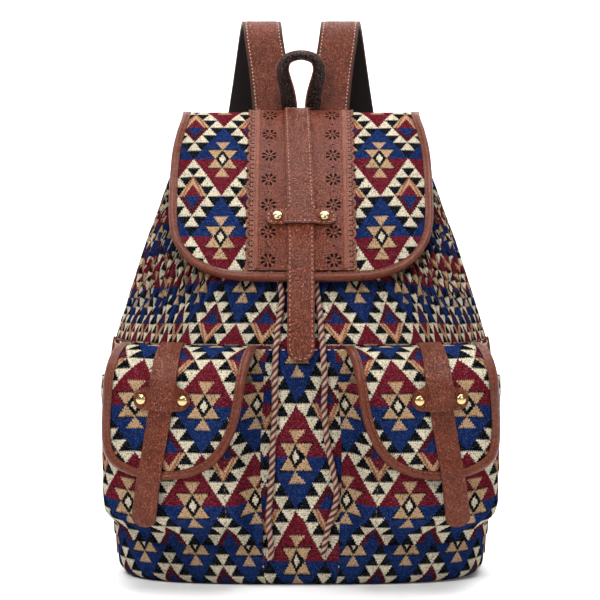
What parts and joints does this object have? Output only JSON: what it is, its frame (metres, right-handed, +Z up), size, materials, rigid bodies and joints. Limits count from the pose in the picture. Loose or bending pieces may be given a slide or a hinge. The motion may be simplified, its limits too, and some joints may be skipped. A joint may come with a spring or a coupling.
{
  "type": "drawstring backpack",
  "caption": "Woven fabric backpack with a gathered drawcord mouth under a leather-trimmed flap, flap pockets with strap closures on the front, shoulder straps and a carrying handle.",
  "frame": {"origin": "middle of the underside of the base, on the plane the bag stands on", "axes": "+Z up, -Y the front with the flap and pockets, +Y the back panel with the shoulder straps, +X to the right as the front is seen"},
  "size_m": [0.3118, 0.2486, 0.4406],
  "materials": {
    "woven_fabric": "tapestry weave of cream, black, blue, dark red and tan triangles",
    "brown_leather": "pebbled brown leather",
    "binding_leather": "smooth brown leather, slightly glossy",
    "dark_leather": "very dark brown leather",
    "dark_lining": "dark lining fabric",
    "twisted_cord": "two-tone twisted cord",
    "gold_metal": "polished pale gold",
    "black_webbing": "black flat webbing"
  },
  "bodies": {
    "root": {"lower_front_panel": "woven_fabric", "back_panel": "woven_fabric", "upper_gathered_panel": "woven_fabric", "base_panel": "woven_fabric", "mouth_channel": "woven_fabric", "flap_fabric": "woven_fabric", "pocket_left": "woven_fabric", "pocket_right": "woven_fabric", "pocket_flap_left": "woven_fabric", "pocket_flap_right": "woven_fabric", "flap_lace_panel": "brown_leather", "flap_strap_tee": "brown_leather", "flap_strap_tongue": "brown_leather", "pocket_strap_tee_left": "brown_leather", "pocket_strap_tee_right": "brown_leather", "pocket_strap_tongue_left": "brown_leather", "pocket_strap_tongue_right": "brown_leather", "shoulder_strap_left": "brown_leather", "shoulder_strap_right": "brown_leather", "corner_tab_left": "brown_leather", "corner_tab_right": "brown_leather", "strap_anchor_patch": "brown_leather", "side_piping_left": "binding_leather", "side_piping_right": "binding_leather", "flap_binding": "binding_leather", "pocket_flap_binding_left": "binding_leather", "pocket_flap_binding_right": "binding_leather", "carry_handle": "dark_leather", "shoulder_strap_lining_left": "dark_lining", "shoulder_strap_lining_right": "dark_lining", "drawcord_in_channel": "twisted_cord", "drawcord_tail_left": "twisted_cord", "drawcord_tail_right": "twisted_cord", "eyelet_left": "gold_metal", "eyelet_right": "gold_metal", "flap_rivet_left": "gold_metal", "flap_rivet_right": "gold_metal", "flap_stud_socket": "gold_metal", "flap_stud_post": "gold_metal", "pocket_rivet_inner_left": "gold_metal", "pocket_rivet_inner_right": "gold_metal", "pocket_rivet_outer_left": "gold_metal", "pocket_rivet_outer_right": "gold_metal", "pocket_stud_left_socket": "gold_metal", "pocket_stud_left_post": "gold_metal", "pocket_stud_right_socket": "gold_metal", "pocket_stud_right_post": "gold_metal", "strap_adjuster_left": "gold_metal", "strap_adjuster_right": "gold_metal", "strap_webbing_left": "black_webbing", "strap_webbing_right": "black_webbing"}
  },
  "joints": []
}
